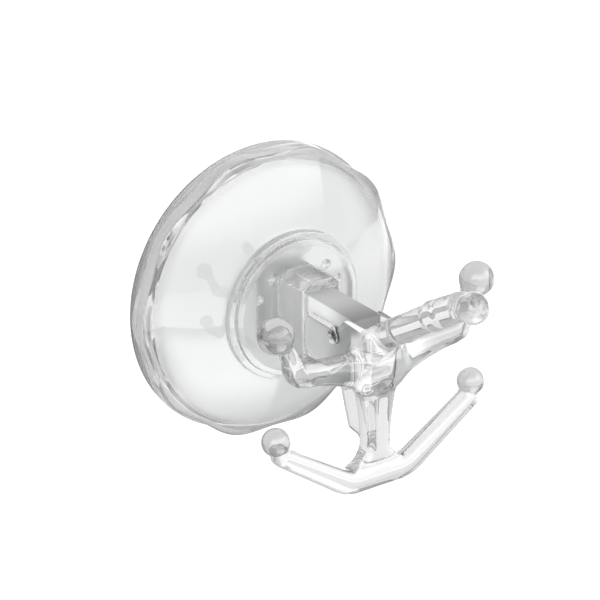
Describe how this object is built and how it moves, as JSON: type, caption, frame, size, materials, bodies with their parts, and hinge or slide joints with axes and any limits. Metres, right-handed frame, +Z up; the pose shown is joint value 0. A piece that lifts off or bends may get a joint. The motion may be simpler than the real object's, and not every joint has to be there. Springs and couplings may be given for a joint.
{
  "type": "suction cup clothes hook",
  "caption": "Clear wall hook: a lever-locked suction cup under a round dome, with a lever that carries ball-tipped prongs.",
  "frame": {"origin": "centre of the suction cup's back, on the wall's plane", "axes": "+Y into the wall, -Y out of it along the pull bar, +X to the viewer's right, +Z up"},
  "size_m": [0.087, 0.1003, 0.0866],
  "materials": {
    "soft_clear": "soft clear, satin",
    "clear_dome": "clear, polished",
    "grey_bar": "opaque light grey, matte",
    "pin_metal": "bright steel",
    "clear_lever": "clear, polished"
  },
  "bodies": {
    "dome": {"housing": "clear_dome"},
    "cup_and_bar": {"suction_cup": "soft_clear", "pull_stem": "grey_bar", "pivot_pin": "pin_metal"},
    "lever": {"hook_lever": "clear_lever"}
  },
  "joints": [
    {"name": "cup_slide", "type": "slide", "parent": "dome", "child": "cup_and_bar", "axis": [0, 1, 0], "range_m": [0, 0.00503]},
    {"name": "lever_hinge", "type": "hinge", "parent": "cup_and_bar", "child": "lever", "pos_m": [0, -0.0442, 0.0024], "axis": [-1, 0, 0], "range_deg": [0, 90]}
  ],
  "couplings": [
    {"joint": "cup_slide", "follows": "lever_hinge", "m_per_rad": 0.0032}
  ]
}
